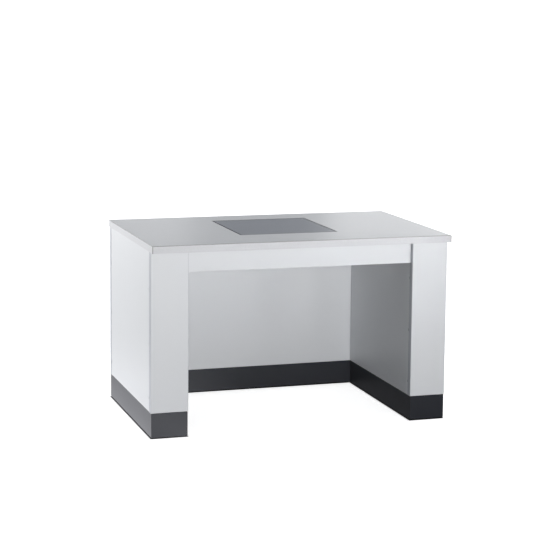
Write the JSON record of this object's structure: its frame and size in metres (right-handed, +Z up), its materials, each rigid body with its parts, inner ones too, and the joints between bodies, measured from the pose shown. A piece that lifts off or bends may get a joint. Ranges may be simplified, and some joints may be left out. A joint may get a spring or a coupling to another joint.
{
  "type": "laboratory weighing table",
  "caption": "Steel-clad laboratory table with a laminated worktop and a stone weighing slab that stands free in a cut-out on its own anti-vibration frame.",
  "frame": {"origin": "on the floor, under the middle of the table's box", "axes": "+X to the right of someone who sits at the table, -Y towards them, +Z up"},
  "size_m": [1.2, 0.75, 0.74],
  "materials": {
    "panel_coat": "light grey powder coat",
    "plinth_coat": "anthracite powder coat",
    "decor_laminate": "light grey laminate",
    "backing_laminate": "plain laminate",
    "edge_band": "light grey edging",
    "board_core": "chipboard",
    "slab_stone": "fine grey stone, honed",
    "frame_coat": "grey powder coat",
    "zinc_steel": "bright zinc",
    "tray_zinc": "galvanised",
    "rubber": "matt black",
    "felt": "pressed felt",
    "glide_plastic": "black moulding"
  },
  "bodies": {
    "table": {"worktop_core": "board_core", "worktop_laminate": "decor_laminate", "worktop_backing": "backing_laminate", "edge_band_front": "edge_band", "edge_band_rear": "edge_band", "edge_band_left": "edge_band", "edge_band_right": "edge_band", "cutout_band": "edge_band", "front_pillar_left": "panel_coat", "front_pillar_right": "panel_coat", "rear_pillar_left": "panel_coat", "rear_pillar_right": "panel_coat", "side_panel_left": "panel_coat", "side_panel_right": "panel_coat", "cheek_panel_left": "panel_coat", "cheek_panel_right": "panel_coat", "back_panel": "panel_coat", "rear_cover": "panel_coat", "apron": "panel_coat", "plinth_front_left": "plinth_coat", "plinth_cheek_left": "plinth_coat", "plinth_back": "plinth_coat", "plinth_cheek_right": "plinth_coat", "plinth_front_right": "plinth_coat", "plinth_side_right": "plinth_coat", "plinth_rear": "plinth_coat", "plinth_side_left": "plinth_coat", "casing_frame_left": "frame_coat", "casing_frame_right": "frame_coat", "casing_top_rail_left": "frame_coat", "casing_top_rail_right": "frame_coat", "casing_rail_front": "frame_coat", "casing_rail_rear": "frame_coat", "stand_frame_left": "frame_coat", "stand_frame_right": "frame_coat", "stand_beam_front": "frame_coat", "stand_beam_rear": "frame_coat", "buffer_front_left": "rubber", "buffer_front_right": "rubber", "buffer_rear_left": "rubber", "buffer_rear_right": "rubber", "stand_lock_nut_front_left": "zinc_steel", "stand_lock_nut_rear_left": "zinc_steel", "stand_lock_nut_front_right": "zinc_steel", "stand_lock_nut_rear_right": "zinc_steel"},
    "slab": {"weighing_slab": "slab_stone", "slab_mat": "felt", "slab_tray": "tray_zinc"},
    "casing_foot_front_left": {"casing_foot_front_left": "glide_plastic"},
    "casing_foot_rear_left": {"casing_foot_rear_left": "glide_plastic"},
    "casing_foot_front_right": {"casing_foot_front_right": "glide_plastic"},
    "casing_foot_rear_right": {"casing_foot_rear_right": "glide_plastic"},
    "stand_foot_front_left": {"stand_sole_front_left": "rubber", "stand_spindle_front_left": "zinc_steel"},
    "stand_foot_rear_left": {"stand_sole_rear_left": "rubber", "stand_spindle_rear_left": "zinc_steel"},
    "stand_foot_front_right": {"stand_sole_front_right": "rubber", "stand_spindle_front_right": "zinc_steel"},
    "stand_foot_rear_right": {"stand_sole_rear_right": "rubber", "stand_spindle_rear_right": "zinc_steel"}
  },
  "joints": [
    {"name": "slab_float", "type": "slide", "parent": "table", "child": "slab", "axis": [0, 0, 1], "range_m": [-0.003, 0.0017], "stiffness_N_per_m": 140000, "springref_m": 0.00168, "deforming": ["buffer_front_left", "buffer_front_right", "buffer_rear_left", "buffer_rear_right"]},
    {"name": "casing_level_front_left", "type": "slide", "parent": "table", "child": "casing_foot_front_left", "axis": [0, 0, -1], "range_m": [0, 0.02]},
    {"name": "casing_level_rear_left", "type": "slide", "parent": "table", "child": "casing_foot_rear_left", "axis": [0, 0, -1], "range_m": [0, 0.02]},
    {"name": "casing_level_front_right", "type": "slide", "parent": "table", "child": "casing_foot_front_right", "axis": [0, 0, -1], "range_m": [0, 0.02]},
    {"name": "casing_level_rear_right", "type": "slide", "parent": "table", "child": "casing_foot_rear_right", "axis": [0, 0, -1], "range_m": [0, 0.02]},
    {"name": "stand_level_front_left", "type": "slide", "parent": "table", "child": "stand_foot_front_left", "axis": [0, 0, -1], "range_m": [0, 0.02]},
    {"name": "stand_level_rear_left", "type": "slide", "parent": "table", "child": "stand_foot_rear_left", "axis": [0, 0, -1], "range_m": [0, 0.02]},
    {"name": "stand_level_front_right", "type": "slide", "parent": "table", "child": "stand_foot_front_right", "axis": [0, 0, -1], "range_m": [0, 0.02]},
    {"name": "stand_level_rear_right", "type": "slide", "parent": "table", "child": "stand_foot_rear_right", "axis": [0, 0, -1], "range_m": [0, 0.02]}
  ]
}
